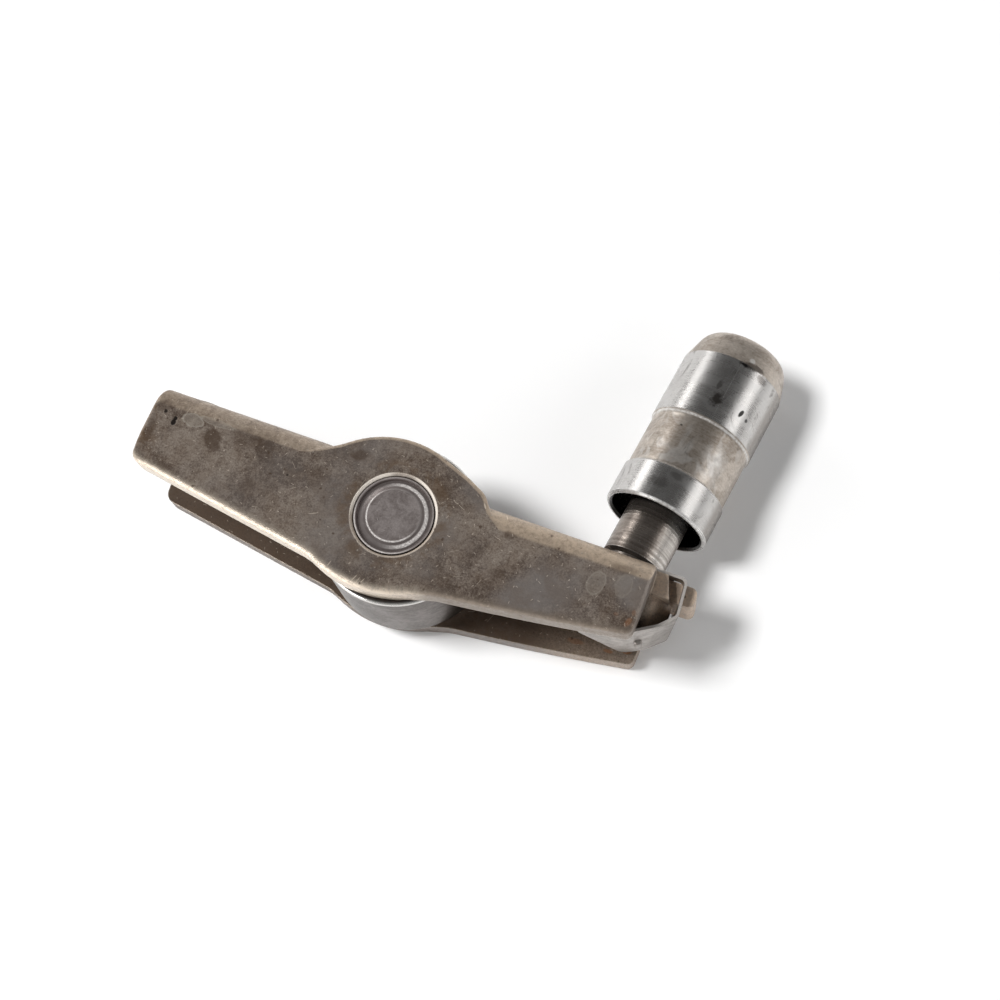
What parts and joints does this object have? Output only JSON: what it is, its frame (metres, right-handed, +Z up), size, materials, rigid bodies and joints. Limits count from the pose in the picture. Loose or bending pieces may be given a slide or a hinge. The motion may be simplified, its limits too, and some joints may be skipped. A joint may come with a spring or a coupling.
{
  "type": "roller rocker arm",
  "caption": "Roller rocker arm folded from sheet steel, lying on its side, with a needle-bearing roller in its slot and a hydraulic lash adjuster clipped in its end socket.",
  "frame": {"origin": "on the roller axle's axis, on the plane of the outer face of the cheek that the arm lies on", "axes": "+Z up, along the axle; +X along the arm, towards the ball socket; +Y towards the lash adjuster and the valve, away from the cam"},
  "size_m": [0.0656, 0.0415, 0.0165],
  "materials": {
    "arm_steel": "satin",
    "axle_steel": "satin",
    "roller_steel": "satin",
    "bearing_steel": "polished",
    "clip_steel": "satin",
    "plunger_steel": "satin",
    "adjuster_steel": "ground",
    "spring_wire": "satin"
  },
  "bodies": {
    "arm": {"arm_body": "arm_steel", "axle_pin": "axle_steel", "retaining_clip": "clip_steel"},
    "roller": {"roller": "roller_steel"},
    "needle_row": {"needle_01": "bearing_steel", "needle_02": "bearing_steel", "needle_03": "bearing_steel", "needle_04": "bearing_steel", "needle_05": "bearing_steel", "needle_06": "bearing_steel", "needle_07": "bearing_steel", "needle_08": "bearing_steel", "needle_09": "bearing_steel", "needle_10": "bearing_steel", "needle_11": "bearing_steel", "needle_12": "bearing_steel", "needle_13": "bearing_steel", "needle_14": "bearing_steel", "needle_15": "bearing_steel"},
    "plunger": {"ball_plunger": "plunger_steel", "lower_piston": "plunger_steel", "check_ball_cage": "clip_steel", "check_ball_spring": "spring_wire"},
    "check_ball": {"check_ball": "bearing_steel"},
    "ring": {"retaining_ring": "spring_wire"},
    "adjuster": {"adjuster_body": "adjuster_steel", "return_spring": "spring_wire"}
  },
  "joints": [
    {"name": "roller_spin", "type": "hinge", "parent": "arm", "child": "roller", "pos_m": [0, 0, 0.00825], "axis": [0, 0, 1], "continuous": true},
    {"name": "needle_orbit", "type": "hinge", "parent": "arm", "child": "needle_row", "pos_m": [0, 0, 0.00825], "axis": [0, 0, 1], "continuous": true},
    {"name": "plunger_swing", "type": "hinge", "parent": "arm", "child": "plunger", "pos_m": [0.024, 0, 0.00825], "axis": [0, 0, 1], "range_deg": [-2, 16]},
    {"name": "check_ball_lift", "type": "slide", "parent": "plunger", "child": "check_ball", "axis": [0.2004, 0.9765, -0.0796], "range_m": [0, 0.0003], "stiffness_N_per_m": 60, "springref_m": -0.0006, "deforming": ["check_ball_spring"]},
    {"name": "adjuster_travel", "type": "slide", "parent": "plunger", "child": "ring", "axis": [-0.2004, -0.9765, 0.0796], "range_m": [0, 0.0022], "stiffness_N_per_m": 1600, "springref_m": -0.005, "deforming": ["return_spring"]},
    {"name": "adjuster_spin", "type": "hinge", "parent": "ring", "child": "adjuster", "pos_m": [0.02782, 0.0186, 0.00673], "axis": [0.2004, 0.9765, -0.0796], "continuous": true}
  ],
  "couplings": [
    {"joint": "needle_orbit", "follows": "roller_spin", "ratio": 0.60239}
  ]
}
